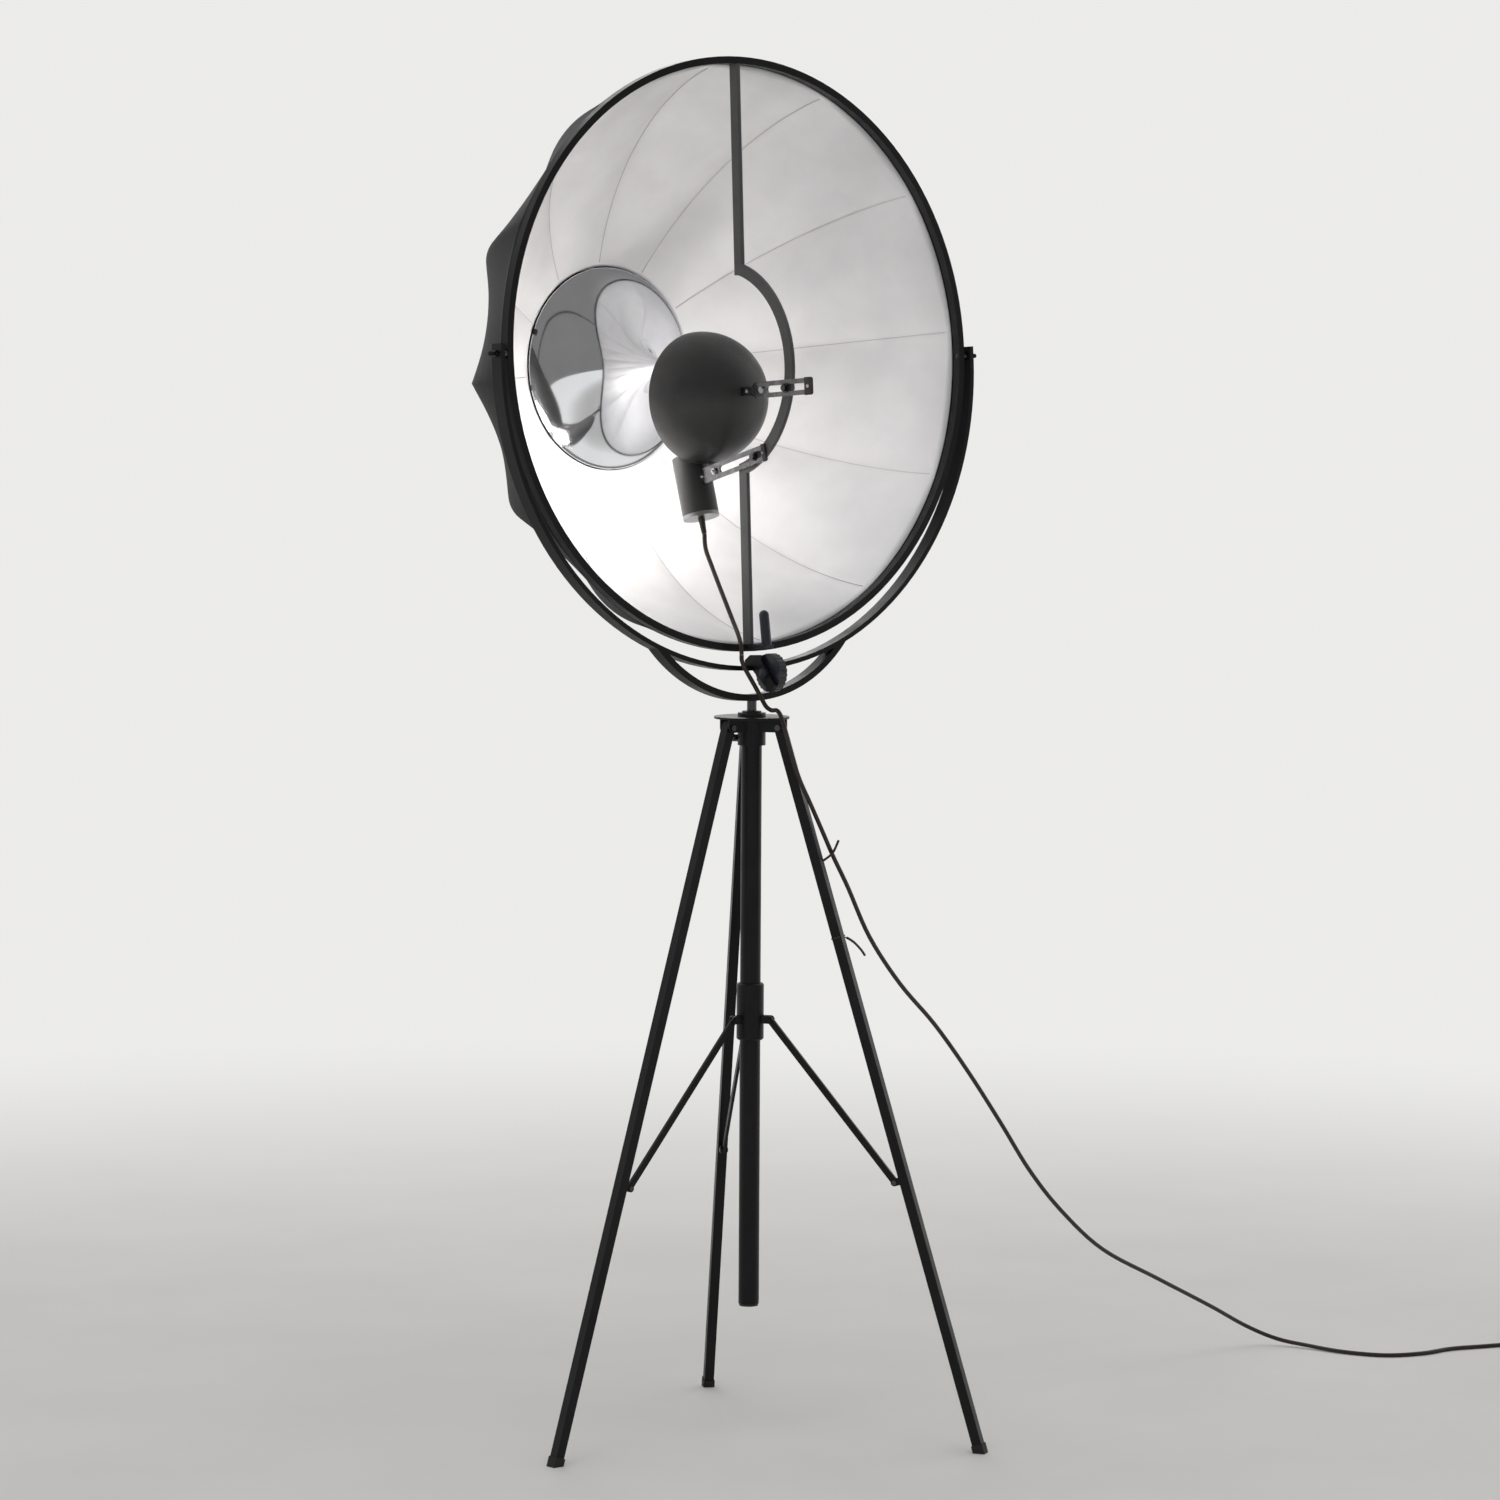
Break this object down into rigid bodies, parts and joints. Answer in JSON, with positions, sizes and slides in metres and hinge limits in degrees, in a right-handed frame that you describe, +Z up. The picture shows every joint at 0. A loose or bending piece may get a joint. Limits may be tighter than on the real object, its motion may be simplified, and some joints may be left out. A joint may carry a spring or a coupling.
{
  "type": "tripod spotlight floor lamp",
  "caption": "Folding tripod floor lamp: fabric dome on a hoop in a forked yoke, ball-shielded lamp on slotted brackets facing a polished dish, sliding mast and mains lead",
  "frame": {"origin": "On the floor under the column's axis", "axes": "+Z up, -Y out of the dome's open face, X along the tilt axis"},
  "size_m": [1.884, 0.6348, 1.8698],
  "materials": {
    "satin_black": "satin black powder coat",
    "dark_steel": "blackened steel",
    "black_plastic": "black nylon",
    "foot_rubber": "matt black rubber",
    "carrier_grey": "dark grey enamel",
    "frame_black": "black wire frame",
    "cover_black": "black woven cloth",
    "lining_white": "white woven cloth",
    "dish_mirror": "polished spun dish",
    "knob_plastic": "dark blue-black plastic",
    "shell_black": "matt black enamel",
    "cap_grey": "turned end cap",
    "socket_plastic": "pale moulded lamp socket",
    "bulb_glass": "opal glass",
    "bracket_chrome": "bright plated steel",
    "lead_rubber": "dark brown-black rubber sheath"
  },
  "bodies": {
    "stand": {"crown": "satin_black", "column": "satin_black", "top_bush": "black_plastic", "column_plug": "black_plastic", "leg_pin_1": "dark_steel", "leg_pin_2": "dark_steel", "leg_pin_3": "dark_steel", "lead_run": "lead_rubber", "lead_coil": "lead_rubber", "plug": "lead_rubber", "tie_upper": "lead_rubber"},
    "wing_screw": {"wing_screw": "dark_steel"},
    "leg_1": {"leg_1": "satin_black", "foot_1": "foot_rubber", "strut_pin_1": "dark_steel"},
    "leg_2": {"leg_2": "satin_black", "foot_2": "foot_rubber", "strut_pin_2": "dark_steel", "tie_lower": "lead_rubber"},
    "leg_3": {"leg_3": "satin_black", "foot_3": "foot_rubber", "strut_pin_3": "dark_steel"},
    "strut_1": {"strut_1": "satin_black"},
    "strut_2": {"strut_2": "satin_black"},
    "strut_3": {"strut_3": "satin_black"},
    "collar": {"collar": "satin_black"},
    "mast": {"mast": "satin_black", "mast_cap": "black_plastic", "mast_guide": "black_plastic"},
    "yoke": {"yoke_hoop": "satin_black", "cradle": "satin_black", "spigot": "dark_steel", "lock_plate": "satin_black", "pivot_left": "dark_steel", "pivot_right": "dark_steel", "lead_yoke": "lead_rubber"},
    "lock_knob": {"lock_knob": "knob_plastic"},
    "head": {"ring": "satin_black", "carrier": "carrier_grey", "ribs": "frame_black", "hub": "frame_black", "cover": "cover_black", "lining": "lining_white", "dish": "dish_mirror", "dish_clips": "dark_steel", "tilt_handle": "knob_plastic", "upper_clamp": "dark_steel", "lower_clamp": "dark_steel"},
    "lamp": {"shell": "shell_black", "shell_foot": "shell_black", "holder": "shell_black", "holder_cap": "cap_grey", "socket": "socket_plastic", "bulb": "bulb_glass", "upper_bracket": "bracket_chrome", "lower_bracket": "bracket_chrome", "strain_relief": "lead_rubber", "lead_lamp": "lead_rubber"}
  },
  "joints": [
    {"name": "leg_1_fold", "type": "hinge", "parent": "stand", "child": "leg_1", "pos_m": [-0.041, 0, 0.969], "axis": [0, -1, 0], "range_deg": [0, 16]},
    {"name": "leg_2_fold", "type": "hinge", "parent": "stand", "child": "leg_2", "pos_m": [0.0205, -0.03551, 0.969], "axis": [0.866, 0.5, 0], "range_deg": [0, 16]},
    {"name": "leg_3_fold", "type": "hinge", "parent": "stand", "child": "leg_3", "pos_m": [0.0205, 0.03551, 0.969], "axis": [-0.866, 0.5, 0], "range_deg": [0, 16]},
    {"name": "strut_1_fold", "type": "hinge", "parent": "leg_1", "child": "strut_1", "pos_m": [-0.20923, 0, 0.35962], "axis": [0, -1, 0], "range_deg": [0, 23.19]},
    {"name": "strut_2_fold", "type": "hinge", "parent": "leg_2", "child": "strut_2", "pos_m": [0.10461, -0.18119, 0.35962], "axis": [0.866, 0.5, 0], "range_deg": [0, 23.19]},
    {"name": "strut_3_fold", "type": "hinge", "parent": "leg_3", "child": "strut_3", "pos_m": [0.10461, 0.18119, 0.35962], "axis": [-0.866, 0.5, 0], "range_deg": [0, 23.19]},
    {"name": "collar_slide", "type": "slide", "parent": "stand", "child": "collar", "axis": [0, 0, 1], "range_m": [0, 0.0438]},
    {"name": "mast_slide", "type": "slide", "parent": "stand", "child": "mast", "axis": [0, 0, 1], "range_m": [0, 0.48]},
    {"name": "wing_turn", "type": "hinge", "parent": "stand", "child": "wing_screw", "pos_m": [0, 0, 0.953], "axis": [-0.5, 0.866, 0], "range_deg": [0, 360]},
    {"name": "pan", "type": "hinge", "parent": "mast", "child": "yoke", "pos_m": [0, 0, 0.995], "axis": [0, 0, 1], "range_deg": [-90, 90]},
    {"name": "tilt", "type": "hinge", "parent": "yoke", "child": "head", "pos_m": [0, 0.0255, 1.47], "axis": [1, 0, 0], "range_deg": [-35, 50]},
    {"name": "lock_turn", "type": "hinge", "parent": "yoke", "child": "lock_knob", "pos_m": [0, -0.02992, 1.04307], "axis": [1, 0, 0], "range_deg": [0, 360]},
    {"name": "focus", "type": "slide", "parent": "head", "child": "lamp", "axis": [0, -0.9979, 0.0645], "range_m": [-0.01, 0.01]}
  ],
  "couplings": [
    {"joint": "leg_2_fold", "follows": "leg_1_fold", "ratio": 1},
    {"joint": "leg_3_fold", "follows": "leg_1_fold", "ratio": 1},
    {"joint": "strut_1_fold", "follows": "leg_1_fold", "ratio": 1.4487},
    {"joint": "strut_2_fold", "follows": "leg_1_fold", "ratio": 1.4487},
    {"joint": "strut_3_fold", "follows": "leg_1_fold", "ratio": 1.4487},
    {"joint": "collar_slide", "follows": "leg_1_fold", "m_per_rad": 0.15676}
  ]
}
